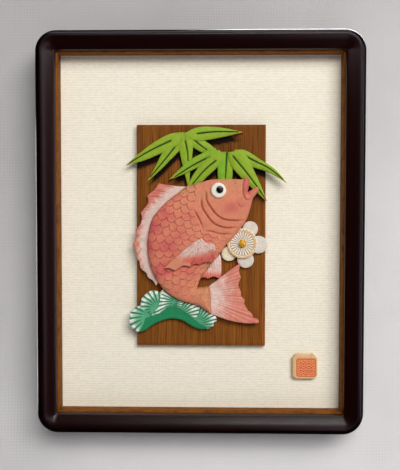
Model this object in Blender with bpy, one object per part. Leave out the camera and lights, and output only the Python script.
"""Framed relief carving: a sea bream with bamboo, plum blossom and pine on a wooden plank.

The plank is screwed from behind to a cloth-covered panel, and the panel sits in a lacquered
frame that hangs on a wall. +X is to the viewer's right, +Z is up and the front faces -Y.
The wall is the plane y = 0, and the origin is the middle of the frame on that plane.
"""

import math

import bmesh
import bpy
from mathutils import Matrix, Vector

MM = 0.001
GAP = 0.3 * MM                  # clearance between two pieces that touch
MITRE_BACK = GAP / math.sqrt(2)  # each mitred end is this much short, measured along its piece

# frame, outside to inside
FRAME_W = 270.0 * MM
FRAME_H = 332.0 * MM
WALL_W = 13.5 * MM              # wood between the outer side and the rebate
LIP_W = 2.9 * MM                # how far the front lip reaches over the rebate
LIP_T = 3.7 * MM                # thickness of the lip at its inner edge
LIP_CORNER_R = 1.1 * MM         # small round in the inner corners of the lip
SHOULDER_W = 5.0 * MM           # from the outer side to the crest
SHOULDER_H = 9.0 * MM           # height of the rounded shoulder
FACE_DROP = 5.0 * MM            # fall of the front face from the crest to the lip
FACE_CURVE = 1.6                # power of the fall: 1 is a straight slope
SHOULDER_STEPS = 6
FACE_STEPS = 4
CORNER_STEPS = 6

# blind key across each mitre
KEY_LENGTH = 10.0 * MM          # across the mitre
KEY_W = 5.0 * MM
KEY_T = 3.0 * MM

# stack in the rebate, back to front
PANEL_PLAY = 0.5 * MM           # space round the panels
BACK_BOARD_T = 2.5 * MM
MAT_BOARD_T = 4.5 * MM
MAT_CLOTH_T = 0.7 * MM
LINER_H = 12.4 * MM
LINER_SHOW = 1.6 * MM           # width of the liner that shows inside the lip

# plank and carving
PLANK_W = 107.0 * MM
PLANK_H = 184.0 * MM
PLANK_T = 6.0 * MM
PLANK_X = 0.9 * MM
PLANK_Z = -2.2 * MM
FAR_SPRAY_T = 4.0 * MM
NEAR_SPRAY_T = 6.0 * MM
PINE_T = 5.5 * MM
PETAL_T = 3.5 * MM
STAMEN_T = 2.5 * MM
STAMEN_R = 12.4 * MM
PETAL_HUB_R = 11.2 * MM         # disc that joins the petals, hidden under the stamens
BEAD_R = 3.3 * MM
BODY_T = 11.5 * MM
DORSAL_T = 5.5 * MM
PELVIC_T = 4.5 * MM
TAIL_T = 7.0 * MM
PECTORAL_T = 2.4 * MM
EYE_R = 6.1 * MM
EYE_T = 1.2 * MM
PUPIL_R = 3.0 * MM
PUPIL_T = 1.4 * MM

# seal tile, measured in from the lower right corner of the sight opening
SEAL_SIDE = 21.0 * MM
SEAL_T = 4.0 * MM
SEAL_CORNER = 3.2 * MM
SEAL_IN_X = 29.0 * MM
SEAL_IN_Z = 36.0 * MM

# screws
SHANK_R = 1.4 * MM
HEAD_R = 2.9 * MM
HEAD_T = 1.3 * MM
PAN_ROUND = 0.6                 # the flat of a pan head and its straight edge, as a share
HEAD_EDGE = 0.4 * MM            # straight edge of a countersunk head
SCREW_DEPTH = 10.0 * MM         # shank in the wood
PLANK_SCREW_APART = 120.0 * MM
PLANK_SCREW_COVER = 1.8 * MM    # wood left between a plank screw's tip and the plank's front

# turn buttons that hold the back board
BUTTON_T = 1.0 * MM
BUTTON_R = 4.6 * MM             # round end at the screw
BUTTON_TIP_R = 2.6 * MM
BUTTON_REACH = 11.0 * MM        # screw to the middle of the tip
BUTTON_IN = 7.0 * MM            # screw in from the frame's outer side
BUTTON_APART = 130.0 * MM       # between the two on the top or the bottom rail
SIDE_BUTTON_Z = -20.0 * MM

# D-ring hangers
STRAP_T = 0.8 * MM
STRAP_W = 8.0 * MM
STRAP_LENGTH = 10.0 * MM        # from the ring's bar to the strap's outer end
STRAP_SCREW_IN = 6.0 * MM       # from the ring's bar to the screw
STRAP_CURL = 300.0              # degrees of the roll round the bar
RING_WIRE_R = 0.9 * MM
RING_PLAY = 0.3 * MM
RING_HALF_W = 6.5 * MM
RING_REACH = 12.0 * MM
RING_BEND_R = 2.25 * MM         # bend between the ring's bar and its bow
HANGER_IN = 13.0 * MM           # ring bar in from the frame's outer side
HANGER_Z = 70.0 * MM

# places along Y, from the wall to the front
LOOP_R = RING_WIRE_R + RING_PLAY + STRAP_T
RAIL_BACK = 2 * LOOP_R + GAP    # distance of the rails' back from the wall
BOARD_BACK = RAIL_BACK
MAT_BACK = BOARD_BACK + BACK_BOARD_T + GAP
CLOTH_BACK = MAT_BACK + MAT_BOARD_T + GAP
CLOTH_FRONT = CLOTH_BACK + MAT_CLOTH_T
LINER_BACK = CLOTH_FRONT + GAP
LINER_FRONT = LINER_BACK + LINER_H
LIP_BACK = LINER_FRONT + GAP
LIP_FRONT = LIP_BACK + LIP_T
CREST = LIP_FRONT + FACE_DROP
PLANK_BACK = CLOTH_FRONT + GAP
PLANK_FRONT = PLANK_BACK + PLANK_T
CARVING_BACK = PLANK_FRONT + GAP
BODY_FRONT = CARVING_BACK + BODY_T
PETAL_FRONT = CARVING_BACK + PETAL_T

RAIL_W = WALL_W + LIP_W
SIGHT_IN = RAIL_W + LINER_SHOW  # from the outer side to the sight opening
CORNER_R = RAIL_W + LIP_CORNER_R
PANEL_W = FRAME_W - 2 * (WALL_W + PANEL_PLAY)
PANEL_H = FRAME_H - 2 * (WALL_W + PANEL_PLAY)

# Outlines of the carving, as (x, z) in millimetres from the middle of the picture. Each is a
# list of runs; a run is a smooth curve through its points, and two runs meet in a corner.
BODY = [
    [(-11.6, 38.3), (-5.8, 39.7), (0, 41.7), (8.3, 44), (16.6, 44.6), (25.7, 44.6), (35.3, 44.4)],
    [(35.3, 44.4), (36.5, 45.6), (39, 45.8), (40.3, 44), (40.3, 39), (39.3, 33.7)],
    [(39.3, 33.7), (43.6, 36.7), (46.9, 38.3), (48.4, 36.3), (46.5, 32.5), (43.7, 29)],
    [(43.7, 29), (42.2, 23.2), (40.3, 16.2), (37.5, 9.8), (33.2, 3.6), (27.4, -3.6),
     (21.6, -9.7), (17.8, -14.9), (16, -17.3), (10.4, -23.7), (4.6, -31.4), (0.4, -37.8),
     (-2.3, -45.2)],
    [(-2.3, -45.2), (2.5, -45), (6.8, -44.2)],
    [(6.8, -44.2), (8.1, -49.8), (8.8, -56.4), (9.5, -67.1)],
    [(9.5, -67.1), (4.1, -63.1), (-1.7, -59.6), (-8.3, -58), (-16.6, -55.4), (-24.9, -50.7),
     (-30.4, -45.8), (-34.9, -39.9), (-39.4, -31.5), (-42.2, -21.6), (-43.3, -9.1),
     (-42.1, 0.8), (-39.8, 10.4), (-34.9, 18.2), (-26.6, 26.5), (-18.3, 32.8), (-11.6, 38.3)],
]
DORSAL_FIN = [
    [(-11.6, 38.3), (-20.8, 39), (-29, 40.2), (-34.4, 41.3)],
    [(-34.4, 41.3), (-36.5, 37.3), (-40.3, 33.8), (-44, 30.9)],
    [(-44, 30.9), (-42.9, 27.4), (-44.4, 22.4), (-49.2, 17)],
    [(-49.2, 17), (-48.1, 12.9), (-49.6, 7), (-53.5, 2.5)],
    [(-53.5, 2.5), (-52.6, -1.3), (-53.9, -5.8), (-55.9, -9.3)],
    [(-55.9, -9.3), (-53.5, -14.5), (-52.3, -20.8), (-50.4, -23.7)],
    [(-50.4, -23.7), (-48.8, -29.5), (-44.6, -33), (-42.9, -36.8), (-38.8, -39.5),
     (-36.3, -43.8)],
    [(-36.3, -43.8), (-34.6, -40.8), (-31, -38)],
    [(-31, -38), (-36, -20), (-37, -5), (-33, 12), (-22, 25), (-8, 35)],
]
PECTORAL_FIN = [
    [(-29, -28.6), (-22.8, -22), (-16.6, -17.4), (-11.6, -12.5), (-5, -7.5), (1.4, -3.6)],
    [(1.4, -3.6), (5.4, -7.7), (12, -9.1), (12.8, -15.8), (11.5, -23.4)],
    [(11.5, -23.4), (5, -23.1), (-0.2, -25.4)],
    [(-0.2, -25.4), (-4.1, -24.7), (-8.1, -27.1)],
    [(-8.1, -27.1), (-13.7, -26.2), (-19.9, -30.4)],
    [(-19.9, -30.4), (-24.9, -28.2), (-29, -28.6)],
]
PELVIC_FIN = [
    [(8, -16), (13, -14), (17.4, -19.9), (17.6, -35.7), (15.2, -37.4)],
    [(15.2, -37.4), (11.2, -35.9), (6.6, -37.6), (3.7, -36.5), (-1.5, -38)],
    [(-1.5, -38), (3, -26), (8, -16)],
]
TAIL_FIN = [
    [(4, -46.5), (14.1, -39.2), (21.6, -33.2), (33.4, -24.9)],
    [(33.4, -24.9), (32.5, -31.5), (34, -36.5)],
    [(34, -36.5), (31.9, -42.8), (34, -48.6), (34.2, -52.1), (37.2, -55.3)],
    [(37.2, -55.3), (37, -58.9), (40, -64.3)],
    [(40, -64.3), (43.4, -67.2), (44.2, -70.1), (48.1, -71.4), (49, -73.4), (46.9, -74.5)],
    [(46.9, -74.5), (35.7, -74.2), (23.2, -71.8), (9.8, -67)],
    [(9.8, -67), (6, -60), (5.5, -55), (4, -46.5)],
]
PINE = [
    [(-49.4, -60.6), (-54.8, -62.8), (-57.9, -66.7), (-58.9, -73), (-57.7, -77.6),
     (-53.1, -81.5), (-50.2, -82.7)],
    [(-50.2, -82.7), (-45.6, -81.2), (-39.8, -77), (-31.5, -73), (-23.2, -71.2),
     (-14.9, -72.6), (-8.3, -76.6), (-1.7, -79.6), (5, -79.9), (11.2, -77.2), (11.6, -74.2)],
    [(11.6, -74.2), (14.1, -72.1), (11, -66), (0, -56), (-20, -48), (-28, -43), (-30.8, -46.8)],
    [(-30.8, -46.8), (-33.2, -49.5)],
    [(-33.2, -49.5), (-36.5, -48.2), (-41.5, -48.4), (-45.6, -51.3), (-48.7, -55),
     (-49.4, -60.6)],
]
PETALS = [((41.7, 3.5), 6.4), ((48.6, -9.5), 7.3), ((37.9, -22), 6.9), ((24.1, -16.9), 6.3)]
STAMEN_AT = (35.1, -8.3)
EYE_AT = (15.4, 35.3)
PUPIL_AT = (16.4, 35.8)

# Each leaf has two edges, both from the hub to the tip; the far spray's hanging leaf ends
# under the near spray, and its lower end comes out again as part of the near spray's block.
FAR_LEAVES = [
    [[(-13.3, 83.4), (-24.9, 81.9), (-37.4, 75.5), (-49.8, 66.4), (-61.9, 56)],
     [(-11.6, 76.3), (-23.2, 70.1), (-34.9, 64.7), (-47.3, 59.8), (-61.9, 56)]],
    [[(-16.6, 82.6), (-24.9, 75.5), (-31.7, 65.7), (-39, 51.4), (-44.7, 41.8)],
     [(-10.8, 78.8), (-14.1, 71.4), (-20.8, 64.3), (-33.2, 51.9), (-44.7, 41.8)]],
    [[(-16.6, 83), (-17.2, 71.4), (-15.8, 62.2), (-13.7, 53.1)],
     [(-6.2, 83), (-5.8, 72.2), (-6.6, 61.4), (-8.3, 55.6)]],
    [[(-10, 83.4), (-3.3, 80.5), (4.1, 76.1), (10, 72), (14.5, 66.5)],
     [(-10, 73.9), (-5.4, 70.5), (2.1, 66.4), (9, 65), (14.5, 66.5)]],
    [[(-11.6, 83), (-5, 86.3), (4.1, 87.8), (19.9, 86.7), (35.9, 83.3)],
     [(-8.3, 77.2), (0, 75.9), (5, 76.6), (20.8, 79.7), (35.9, 83.3)]],
]
NEAR_LEAVES = [
    [[(12.5, 70.2), (5, 67.2), (-6.6, 61.4), (-16.6, 53.1), (-25.9, 44)],
     [(17.5, 63), (8.3, 58.5), (-1.2, 54.5), (-14.9, 48.1), (-25.9, 44)]],
    [[(15.5, 68.8), (5, 61.8), (-1.2, 54.5), (-6.2, 47.3), (-12, 36.5)],
     [(21.5, 63.5), (14.5, 54.5), (7.1, 47.7), (0.4, 41.7), (-12, 36.5)]],
    [[(18, 67.1), (15.4, 61.4), (14.7, 54.8), (15.1, 44.4), (20.8, 29.9)],
     [(27.4, 66.8), (27.9, 59.8), (27.1, 53.1), (26.4, 44.4), (20.8, 29.9)]],
    [[(23.2, 66.4), (24.1, 59.8), (28.2, 52.3), (40.7, 39.2), (55.4, 26.2)],
     [(34, 68.5), (39, 63.1), (45.2, 50.6), (51.5, 36.5), (55.4, 26.2)]],
    [[(28.2, 68.6), (37.4, 68.2), (49.8, 60.7), (62.2, 52.4), (71.5, 41.5)],
     [(33.2, 59.8), (38.2, 56), (45.6, 53.8), (58.1, 49.5), (71.5, 41.5)]],
    [[(-13.6, 54), (-12.6, 49), (-11, 43), (-9.5, 34.9)],
     [(-8, 54), (-8.1, 50.6), (-8.4, 46), (-9.5, 34.9)]],
]

MATERIALS = {
    # name: (linear red, green, blue), roughness, metallic
    "lacquered_wood": ((0.020, 0.004, 0.003), 0.30, 0.0),
    "liner_wood": ((0.22, 0.085, 0.022), 0.55, 0.0),
    "plain_wood": ((0.55, 0.38, 0.20), 0.70, 0.0),
    "mat_linen": ((0.78, 0.72, 0.60), 0.95, 0.0),
    "stained_plank": ((0.20, 0.075, 0.018), 0.60, 0.0),
    "leaf_green": ((0.26, 0.40, 0.03), 0.50, 0.0),
    "pine_green": ((0.03, 0.20, 0.09), 0.50, 0.0),
    "fish_coral": ((0.62, 0.20, 0.14), 0.50, 0.0),
    "fin_pink": ((0.66, 0.30, 0.24), 0.50, 0.0),
    "petal_white": ((0.74, 0.71, 0.66), 0.55, 0.0),
    "bead_gold": ((0.80, 0.48, 0.08), 0.30, 0.0),
    "eye_white": ((0.82, 0.80, 0.76), 0.35, 0.0),
    "pupil_black": ((0.006, 0.006, 0.006), 0.08, 0.0),
    "seal_wood": ((0.72, 0.42, 0.20), 0.60, 0.0),
    "hardboard": ((0.24, 0.13, 0.06), 0.75, 0.0),
    "brassed_steel": ((0.60, 0.42, 0.16), 0.35, 1.0),
    "zinced_steel": ((0.55, 0.55, 0.56), 0.38, 1.0),
}


def clear_scene():
    """Remove every object of the start-up scene."""
    for thing in list(bpy.data.objects):
        bpy.data.objects.remove(thing, do_unlink=True)


def material(name):
    """The Principled material of that name, made on first use."""
    if name in bpy.data.materials:
        return bpy.data.materials[name]
    colour, roughness, metallic = MATERIALS[name]
    made = bpy.data.materials.new(name)
    made.use_nodes = True
    shader = made.node_tree.nodes["Principled BSDF"]
    shader.inputs["Base Color"].default_value = (*colour, 1.0)
    shader.inputs["Roughness"].default_value = roughness
    shader.inputs["Metallic"].default_value = metallic
    made.diffuse_color = (*colour, 1.0)
    return made


def place(name, bm, material_name=None, smooth=False):
    """Turn a bmesh into a linked object; without a material it is a hidden cutter."""
    bmesh.ops.recalc_face_normals(bm, faces=bm.faces)
    mesh = bpy.data.meshes.new(name)
    bm.to_mesh(mesh)
    bm.free()
    made = bpy.data.objects.new(name, mesh)
    bpy.context.scene.collection.objects.link(made)
    if material_name is None:
        made.hide_render = True
        made.display_type = "WIRE"
        return made
    mesh.materials.append(material(material_name))
    if smooth:
        mesh.shade_smooth()
        mesh.set_sharp_from_angle(angle=math.radians(35))
    return made


def boolean(target, other, operation="DIFFERENCE"):
    """Add one exact Boolean to the target, with a hidden object as its operand."""
    cut = target.modifiers.new(other.name, "BOOLEAN")
    cut.operation = operation
    cut.solver = "EXACT"
    cut.object = other
    return target


def solid_outline(outline, back, front):
    """A bmesh prism: an (x, z) outline in metres carried from one distance off the wall to another."""
    bm = bmesh.new()
    far = [bm.verts.new((x, -back, z)) for x, z in outline]
    near = [bm.verts.new((x, -front, z)) for x, z in outline]
    bm.faces.new(far)
    bm.faces.new(list(reversed(near)))
    count = len(outline)
    for i in range(count):
        j = (i + 1) % count
        bm.faces.new((far[i], near[i], near[j], far[j]))
    return bm


def prism(name, outline, back, front, material_name=None):
    return place(name, solid_outline(outline, back, front), material_name)


def rectangle(width, height, x=0.0, z=0.0):
    return [(x - width / 2, z - height / 2), (x + width / 2, z - height / 2),
            (x + width / 2, z + height / 2), (x - width / 2, z + height / 2)]


def circle(centre, radius, sides):
    """A regular polygon with its corners on the circle."""
    steps = [2 * math.pi * i / sides for i in range(sides)]
    return [(centre[0] + radius * math.cos(a), centre[1] + radius * math.sin(a)) for a in steps]


def smooth_run(points, steps=3):
    """Points on a Catmull-Rom curve through the given ones, without the last one."""
    ends = [points[0]] + list(points) + [points[-1]]
    found = []
    for a, b, c, d in zip(ends, ends[1:], ends[2:], ends[3:]):
        for k in range(steps):
            t = k / steps
            found.append(tuple(
                0.5 * (2 * b[i] + (c[i] - a[i]) * t
                       + (2 * a[i] - 5 * b[i] + 4 * c[i] - d[i]) * t * t
                       + (3 * b[i] - a[i] - 3 * c[i] + d[i]) * t ** 3)
                for i in (0, 1)))
    return found


def carved_outline(runs, steps=3):
    """The closed outline of several smooth runs, in metres, anticlockwise in (x, z)."""
    outline = [p for run in runs for p in smooth_run(run, steps if len(run) > 2 else 1)]
    outline = [(x * MM, z * MM) for x, z in outline]
    turn = sum(a[0] * b[1] - b[0] * a[1] for a, b in zip(outline, outline[1:] + outline[:1]))
    return outline if turn > 0 else outline[::-1]


def leaf_outline(edges):
    """One leaf: out along the first edge and back along the second."""
    out, back = edges
    if out[-1] == back[-1]:
        return carved_outline([out, back[::-1], [back[0], out[0]]], 2)
    return carved_outline([out, [out[-1], back[-1]], back[::-1], [back[0], out[0]]], 2)


def grown(outline, distance):
    """The outline moved outwards by a distance, with long spikes at sharp tips held back."""
    moved = []
    count = len(outline)
    for i, here in enumerate(outline):
        before = Vector(here) - Vector(outline[i - 1])
        after = Vector(outline[(i + 1) % count]) - Vector(here)
        normal_a = Vector((before.y, -before.x)).normalized()
        normal_b = Vector((after.y, -after.x)).normalized()
        mean = normal_a + normal_b
        mean.normalize()
        reach = distance / max(0.4, mean.dot(normal_b))
        moved.append((here[0] + mean.x * reach, here[1] + mean.y * reach))
    return moved


def turned(name, profile, centre, back, material_name=None, sides=16):
    """A solid of revolution about an axis along Y.

    The profile is (radius, distance forward of back) from the back to the front, and both of
    its ends lie on the axis.
    """
    bm = bmesh.new()
    rings = []
    for radius, forward in profile:
        y = -(back + forward)
        if radius == 0:
            rings.append([bm.verts.new((centre[0], y, centre[1]))])
            continue
        rings.append([bm.verts.new((x, y, z)) for x, z in circle(centre, radius, sides)])
    for low, high in zip(rings, rings[1:]):
        for i in range(sides):
            j = (i + 1) % sides
            corners = [low[i % len(low)], low[j % len(low)],
                       high[j % len(high)], high[i % len(high)]]
            bm.faces.new(list(dict.fromkeys(corners)))
    return place(name, bm, material_name, smooth=True)


def cylinder_cutter(name, centre, radius, back, front, sides=16):
    return prism(name, circle(centre, radius, sides), back, front)


# ---------------------------------------------------------------- frame

def rail_profile():
    """The rail's section as (in from the outer side, off the wall, rounded at corners)."""
    points = [(0.0, RAIL_BACK, True)]
    for i in range(SHOULDER_STEPS + 1):
        angle = math.pi / 2 * i / SHOULDER_STEPS
        points.append((SHOULDER_W * (1 - math.cos(angle)),
                       CREST - SHOULDER_H * (1 - math.sin(angle)), True))
    for i in range(1, FACE_STEPS + 1):
        t = i / FACE_STEPS
        points.append((SHOULDER_W + (RAIL_W - SHOULDER_W) * t,
                       CREST - FACE_DROP * t ** FACE_CURVE, True))
    points.append((RAIL_W, LIP_BACK, True))
    points.append((WALL_W, LIP_BACK, False))
    points.append((WALL_W, RAIL_BACK, False))
    return points


def rail(name, length, material_name, profile):
    """A mitred rail along +X whose outer side is at z = 0 and whose inside is at +Z.

    Every profile point lies on a ray from the corner's centre: at a fixed distance where the
    corner is round, and on the straight line where it is square.
    """
    half = length / 2 - MITRE_BACK
    angles = [math.pi / 4 * (1 - i / CORNER_STEPS) for i in range(CORNER_STEPS + 1)]
    stations = [(-1, a) for a in angles] + [(1, a) for a in reversed(angles)]
    bm = bmesh.new()
    loops = []
    for side, angle in stations:
        loop = []
        for u, off_wall, is_round in profile:
            ray = (CORNER_R - u) / (1 if is_round else math.cos(angle))
            along = half - CORNER_R + ray * math.sin(angle)
            across = CORNER_R - ray * math.cos(angle)
            loop.append(bm.verts.new((side * along, -off_wall, across)))
        loops.append(loop)
    count = len(profile)
    for a, b in zip(loops, loops[1:]):
        for i in range(count):
            j = (i + 1) % count
            bm.faces.new((a[i], a[j], b[j], b[i]))
    bm.faces.new(loops[0])
    bm.faces.new(loops[-1])
    return place(name, bm, material_name, smooth=True)


SIDES = {
    # name: (turn about Y in degrees, rail length, distance of the outer side from the middle)
    "bottom": (0, FRAME_W, FRAME_H / 2),
    "left": (90, FRAME_H, FRAME_W / 2),
    "top": (180, FRAME_W, FRAME_H / 2),
    "right": (270, FRAME_H, FRAME_W / 2),
}


def to_side(side):
    """Matrix that carries a rail built along +X to its side of the frame."""
    turn, _, distance = SIDES[side]
    return Matrix.Rotation(math.radians(turn), 4, "Y") @ Matrix.Translation((0, 0, -distance))


def on_side(side, along, inwards):
    """The (x, z) of a point given along a side and in from its outer edge."""
    point = to_side(side) @ Vector((along, 0, inwards))
    return point.x, point.z


def make_rails():
    made = {}
    for side, (_, length, _) in SIDES.items():
        made[side] = rail(f"rail_{side}", length, "lacquered_wood", rail_profile())
        made[side].data.transform(to_side(side))
    return made


def liner_strip(name, length):
    """A mitred strip with a square section along +X, outer edge at z = 0, inside at +Z."""
    width = SIGHT_IN - WALL_W - GAP
    half = length / 2 - MITRE_BACK
    bm = bmesh.new()
    corners = ((-half, 0), (half, 0), (half - width, width), (-half + width, width))
    far = [bm.verts.new((x, -LINER_BACK, z)) for x, z in corners]
    near = [bm.verts.new((x, -LINER_FRONT, z)) for x, z in corners]
    bm.faces.new(far)
    bm.faces.new(near[::-1])
    for i in range(4):
        j = (i + 1) % 4
        bm.faces.new((far[i], near[i], near[j], far[j]))
    return place(name, bm, "liner_wood")


def make_liner():
    inset = WALL_W + GAP
    for side, (_, length, _) in SIDES.items():
        strip = liner_strip(f"liner_{side}", length - 2 * inset)
        strip.data.transform(to_side(side) @ Matrix.Translation((0, 0, inset)))


def crossing_bar(centre, direction, length, width):
    """The corners of a rectangle in (x, z) whose length runs along a direction."""
    end = direction * length / 2
    side = Vector((-direction.y, direction.x)) * width / 2
    return [tuple(centre + p) for p in (-end - side, end - side, end + side, side - end)]


def make_corner_keys(rails):
    """A blind key across each mitre, in a pocket that both rails share."""
    middle = RAIL_BACK + (LIP_BACK - RAIL_BACK) / 2
    inwards = (WALL_W + CORNER_R * (1 - math.sqrt(0.5))) / 2
    corners = {"bottom_left": (-1, -1), "bottom_right": (1, -1),
               "top_left": (-1, 1), "top_right": (1, 1)}
    for name, (sx, sz) in corners.items():
        centre = Vector((sx * (FRAME_W / 2 - inwards), sz * (FRAME_H / 2 - inwards)))
        across = Vector((sx, -sz)).normalized()
        prism(f"corner_key_{name}", crossing_bar(centre, across, KEY_LENGTH, KEY_W),
              middle - KEY_T / 2, middle + KEY_T / 2, "plain_wood")
        pocket = prism(f"pocket_{name}",
                       crossing_bar(centre, across, KEY_LENGTH + 2 * GAP, KEY_W + 2 * GAP),
                       middle - KEY_T / 2 - GAP, middle + KEY_T / 2 + GAP)
        for side in name.split("_"):
            boolean(rails[side], pocket)


# ---------------------------------------------------------------- panels and plank

def make_panels():
    """Back board, mat board, its cloth and the plank, with the two screws that hold the plank."""
    prism("back_board", rectangle(PANEL_W, PANEL_H), BOARD_BACK, BOARD_BACK + BACK_BOARD_T,
          "hardboard")
    mat_board = prism("mat_board", rectangle(PANEL_W, PANEL_H), MAT_BACK,
                      MAT_BACK + MAT_BOARD_T, "plain_wood")
    mat_cloth = prism("mat_cloth", rectangle(PANEL_W, PANEL_H), CLOTH_BACK, CLOTH_FRONT,
                      "mat_linen")
    plank = prism("carving_plank", rectangle(PLANK_W, PLANK_H, PLANK_X, PLANK_Z), PLANK_BACK,
                  PLANK_FRONT, "stained_plank")
    length = PLANK_FRONT - PLANK_SCREW_COVER - MAT_BACK
    for name, up in (("upper", 1), ("lower", -1)):
        centre = (PLANK_X, PLANK_Z + up * PLANK_SCREW_APART / 2)
        cone = HEAD_R - SHANK_R
        turned(f"plank_screw_{name}",
               [(0, 0), (HEAD_R, 0), (HEAD_R, HEAD_EDGE), (SHANK_R, HEAD_EDGE + cone),
                (SHANK_R, length - SHANK_R), (0, length)],
               centre, MAT_BACK, "zinced_steel")
        reach = length + GAP
        hole = turned(f"plank_hole_{name}",
                      [(0, -MM), (HEAD_R + GAP, -MM), (HEAD_R + GAP, HEAD_EDGE + GAP),
                       (SHANK_R + GAP, HEAD_EDGE + GAP + cone), (SHANK_R + GAP, reach),
                       (0, reach)],
                      centre, MAT_BACK)
        for board in (mat_board, mat_cloth, plank):
            boolean(board, hole)


def make_seal():
    x = FRAME_W / 2 - SIGHT_IN - SEAL_IN_X
    z = -(FRAME_H / 2 - SIGHT_IN - SEAL_IN_Z)
    half = SEAL_SIDE / 2
    outline = []
    for turn in range(4):
        for a, b in ((half, -(half - SEAL_CORNER)), (half, half - SEAL_CORNER)):
            angle = math.pi / 2 * turn
            outline.append((x + a * math.cos(angle) - b * math.sin(angle),
                            z + a * math.sin(angle) + b * math.cos(angle)))
    prism("seal_tile", outline, PLANK_BACK, PLANK_BACK + SEAL_T, "seal_wood")


# ---------------------------------------------------------------- carving

def cutter_from(name, outline):
    """A hidden prism through the whole carving, a clearance wider than the outline."""
    return prism(name, grown(outline, GAP), PLANK_BACK, CREST)


def make_fish():
    """The body and its fins; the body is whole, and each fin ends against it."""
    body = carved_outline(BODY)
    tail = carved_outline(TAIL_FIN)
    pelvic = carved_outline(PELVIC_FIN)
    dorsal = carved_outline(DORSAL_FIN, 2)
    cutters = {
        "body": cutter_from("body_room", body),
        "tail": cutter_from("tail_room", tail),
        "pelvic": cutter_from("pelvic_room", pelvic),
        "dorsal": cutter_from("dorsal_room", dorsal),
    }
    prism("fish_body", body, CARVING_BACK, BODY_FRONT, "fish_coral")
    tail_fin = prism("tail_fin", tail, CARVING_BACK, CARVING_BACK + TAIL_T, "fin_pink")
    boolean(tail_fin, cutters["body"])
    pelvic_fin = prism("pelvic_fin", pelvic, CARVING_BACK, CARVING_BACK + PELVIC_T, "fin_pink")
    boolean(pelvic_fin, cutters["body"])
    boolean(pelvic_fin, cutters["tail"])
    dorsal_fin = prism("dorsal_fin", dorsal, CARVING_BACK, CARVING_BACK + DORSAL_T, "fin_pink")
    boolean(dorsal_fin, cutters["body"])
    prism("pectoral_fin", carved_outline(PECTORAL_FIN, 2), BODY_FRONT + GAP,
          BODY_FRONT + GAP + PECTORAL_T, "fin_pink")
    return cutters


def in_metres(point):
    return point[0] * MM, point[1] * MM


def dome_profile(radius, height, rim, steps=4):
    """A short cylinder of height rim with a domed front."""
    points = [(0, 0), (radius, 0)]
    for i in range(steps):
        angle = math.pi / 2 * i / steps
        points.append((radius * math.cos(angle), rim + (height - rim) * math.sin(angle)))
    return points + [(0, height)]


def make_eye():
    turned("eye_white", dome_profile(EYE_R, EYE_T, EYE_T * 0.8, 1), in_metres(EYE_AT),
           BODY_FRONT + GAP, "eye_white", sides=24)
    turned("eye_pupil", dome_profile(PUPIL_R, PUPIL_T, PUPIL_T * 0.3), in_metres(PUPIL_AT),
           BODY_FRONT + GAP + EYE_T + GAP, "pupil_black", sides=20)


def make_bamboo(cutters):
    """Two sprays; the near one is whole apart from the fish, and the far one ends against it."""
    near = None
    near_rooms = []
    for i, edges in enumerate(NEAR_LEAVES):
        outline = leaf_outline(edges)
        if near is None:
            near = prism("bamboo_near_spray", outline, CARVING_BACK,
                         CARVING_BACK + NEAR_SPRAY_T, "leaf_green")
        else:
            leaf = prism(f"near_leaf_{i}", outline, CARVING_BACK, CARVING_BACK + NEAR_SPRAY_T)
            boolean(near, leaf, "UNION")
        near_rooms.append(cutter_from(f"near_room_{i}", outline))
    boolean(near, cutters["body"])
    boolean(near, cutters["dorsal"])
    far = prism("bamboo_far_spray", leaf_outline(FAR_LEAVES[0]), CARVING_BACK,
                CARVING_BACK + FAR_SPRAY_T, "leaf_green")
    for i, edges in enumerate(FAR_LEAVES[1:], 1):
        leaf = prism(f"far_leaf_{i}", leaf_outline(edges), CARVING_BACK,
                     CARVING_BACK + FAR_SPRAY_T)
        boolean(far, leaf, "UNION")
    for room in near_rooms:
        boolean(far, room)


def make_pine(cutters):
    pine = prism("pine_branch", carved_outline(PINE), CARVING_BACK, CARVING_BACK + PINE_T,
                 "pine_green")
    boolean(pine, cutters["body"])
    boolean(pine, cutters["tail"])


def make_plum(cutters):
    """Petals on the plank, the stamens on the petals and the bead on the stamens."""
    petals = prism("plum_petals", circle(in_metres(STAMEN_AT), PETAL_HUB_R, 20),
                   CARVING_BACK, PETAL_FRONT, "petal_white")
    for i, (centre, radius) in enumerate(PETALS):
        petal = prism(f"petal_{i}", circle(in_metres(centre), radius * MM, 18), CARVING_BACK,
                      PETAL_FRONT)
        boolean(petals, petal, "UNION")
    for name in ("body", "tail", "pelvic"):
        boolean(petals, cutters[name])
    stamens = prism("plum_stamens", circle(in_metres(STAMEN_AT), STAMEN_R, 36),
                    PETAL_FRONT + GAP, PETAL_FRONT + GAP + STAMEN_T, "petal_white")
    boolean(stamens, cutters["body"])
    turned("plum_bead", dome_profile(BEAD_R, BEAD_R, BEAD_R * 0.2), in_metres(STAMEN_AT),
           PETAL_FRONT + GAP + STAMEN_T + GAP, "bead_gold", sides=18)


# ---------------------------------------------------------------- hardware

def pan_screw(name, centre, head_back, rail_object, material_name):
    """A pan-head screw driven from behind, with its hole in the rail.

    head_back is the distance of the head's underside from the wall.
    """
    tip = RAIL_BACK + SCREW_DEPTH
    start = head_back - HEAD_T
    turned(name,
           [(0, 0), (HEAD_R * PAN_ROUND, 0), (HEAD_R, HEAD_T * PAN_ROUND), (HEAD_R, HEAD_T),
            (SHANK_R, HEAD_T), (SHANK_R, tip - start - 2 * SHANK_R), (0, tip - start)],
           centre, start, material_name, sides=14)
    hole = cylinder_cutter(f"{name}_hole", centre, SHANK_R + GAP, 0, tip + GAP)
    boolean(rail_object, hole)


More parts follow.
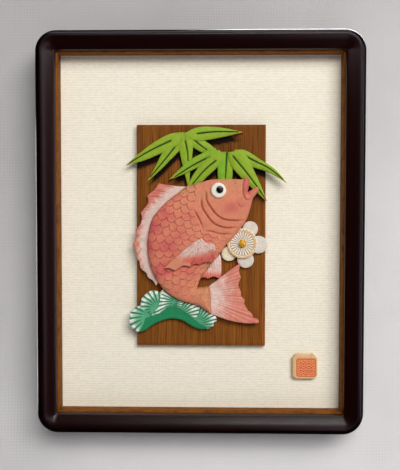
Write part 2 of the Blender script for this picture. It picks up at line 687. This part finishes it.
def button_outline():
    """A pear: a round end on the screw and a smaller round tip, at the origin along +Z."""
    lean = math.asin((BUTTON_R - BUTTON_TIP_R) / BUTTON_REACH)
    points = []
    for i in range(13):
        angle = math.pi - lean + (math.pi + 2 * lean) * i / 12
        points.append((BUTTON_R * math.cos(angle), BUTTON_R * math.sin(angle)))
    for i in range(7):
        angle = lean + (math.pi - 2 * lean) * i / 6
        points.append((BUTTON_TIP_R * math.cos(angle),
                       BUTTON_REACH + BUTTON_TIP_R * math.sin(angle)))
    return points


def make_buttons(rails):
    """Six turn buttons, each on a screw in the rail's back; an object's origin is its screw."""
    half = BUTTON_APART / 2
    places = {"bottom_left": ("bottom", -half), "bottom_right": ("bottom", half),
              "top_left": ("top", half), "top_right": ("top", -half),
              "left": ("left", -SIDE_BUTTON_Z), "right": ("right", SIDE_BUTTON_Z)}
    front = RAIL_BACK - GAP
    for name, (side, along) in places.items():
        x, z = on_side(side, along, BUTTON_IN)
        button = prism(f"turn_button_{name}", button_outline(), front - BUTTON_T, front,
                       "brassed_steel")
        button.location = (x, 0, z)
        button.rotation_euler = (0, math.radians(SIDES[side][0]), 0)
        hole = cylinder_cutter(f"button_{name}_hole", (x, z), SHANK_R + GAP, 0, front + MM)
        boolean(button, hole)
        pan_screw(f"button_screw_{name}", (x, z), front - BUTTON_T - GAP, rails[side],
                  "brassed_steel")


def strip(path, thickness):
    """The outline of a bent strip: its middle line moved half a thickness to each side."""
    left, right = [], []
    for i, here in enumerate(path):
        before = path[max(i - 1, 0)]
        after = path[min(i + 1, len(path) - 1)]
        run = (Vector(after) - Vector(before)).normalized()
        side = Vector((-run.y, run.x)) * (thickness / 2)
        left.append(tuple(Vector(here) + side))
        right.append(tuple(Vector(here) - side))
    return left + right[::-1]


def make_hanger(name, sign, rail_object):
    """A strap rolled round the straight bar of a D-ring; sign is +1 on the right rail."""
    bar_x = sign * (FRAME_W / 2 - HANGER_IN)
    bar_y = -LOOP_R
    roll = LOOP_R - STRAP_T / 2
    path = [(STRAP_LENGTH, -roll)]
    turns = 20
    for i in range(turns + 1):
        angle = math.radians(-90 - STRAP_CURL * i / turns)
        path.append((roll * math.cos(angle), roll * math.sin(angle)))
    bm = bmesh.new()
    low, high = (
        [bm.verts.new((bar_x + sign * x, bar_y + y, HANGER_Z + end * STRAP_W / 2))
         for x, y in strip(path, STRAP_T)]
        for end in (-1, 1))
    bm.faces.new(low)
    bm.faces.new(high[::-1])
    for i in range(len(low)):
        j = (i + 1) % len(low)
        bm.faces.new((low[i], high[i], high[j], low[j]))
    strap = place(f"hanger_strap_{name}", bm, "zinced_steel", smooth=True)
    centre = (bar_x + sign * STRAP_SCREW_IN, HANGER_Z)
    boolean(strap, cylinder_cutter(f"strap_{name}_hole", centre, SHANK_R + GAP, 0,
                                   RAIL_BACK + MM))
    pan_screw(f"hanger_screw_{name}", centre, RAIL_BACK - 2 * GAP - STRAP_T, rail_object,
              "zinced_steel")
    ring = d_ring(f"hanger_ring_{name}", -sign)
    ring.location = (bar_x, bar_y, HANGER_Z)


def d_ring(name, sign):
    """A D of round wire in the XZ plane: the bar on the Z axis and the bow towards sign * X."""
    path = []
    for end in (-1, 1):
        for i in range(4):
            angle = math.radians(30 * i)
            a = RING_BEND_R * (1 - math.sin(angle))
            b = RING_BEND_R * (1 - math.cos(angle))
            point = (a, end * (RING_HALF_W - b)) if end < 0 else (b, end * (RING_HALF_W - a))
            path.append(point)
    bow = RING_REACH - RING_HALF_W
    for i in range(9):
        angle = math.radians(90 - 180 * i / 8)
        path.append((bow + RING_HALF_W * math.cos(angle), RING_HALF_W * math.sin(angle)))
    path = list(dict.fromkeys((round(x, 7), round(z, 7)) for x, z in path))
    sides = 10
    bm = bmesh.new()
    loops = []
    count = len(path)
    for i in range(count):
        before, after = Vector(path[i - 1]), Vector(path[(i + 1) % count])
        run = (after - before).normalized()
        out = Vector((run.y, -run.x))
        loop = []
        for k in range(sides):
            angle = 2 * math.pi * k / sides
            wide = Vector(path[i]) + out * RING_WIRE_R * math.cos(angle)
            loop.append(bm.verts.new((sign * wide.x, RING_WIRE_R * math.sin(angle), wide.y)))
        loops.append(loop)
    for i in range(count):
        a, b = loops[i], loops[(i + 1) % count]
        for k in range(sides):
            m = (k + 1) % sides
            bm.faces.new((a[k], a[m], b[m], b[k]))
    return place(name, bm, "zinced_steel", smooth=True)


def main():
    clear_scene()
    rails = make_rails()
    make_corner_keys(rails)
    make_liner()
    make_panels()
    make_seal()
    cutters = make_fish()
    make_eye()
    make_bamboo(cutters)
    make_pine(cutters)
    make_plum(cutters)
    make_buttons(rails)
    make_hanger("left", -1, rails["left"])
    make_hanger("right", 1, rails["right"])


main()
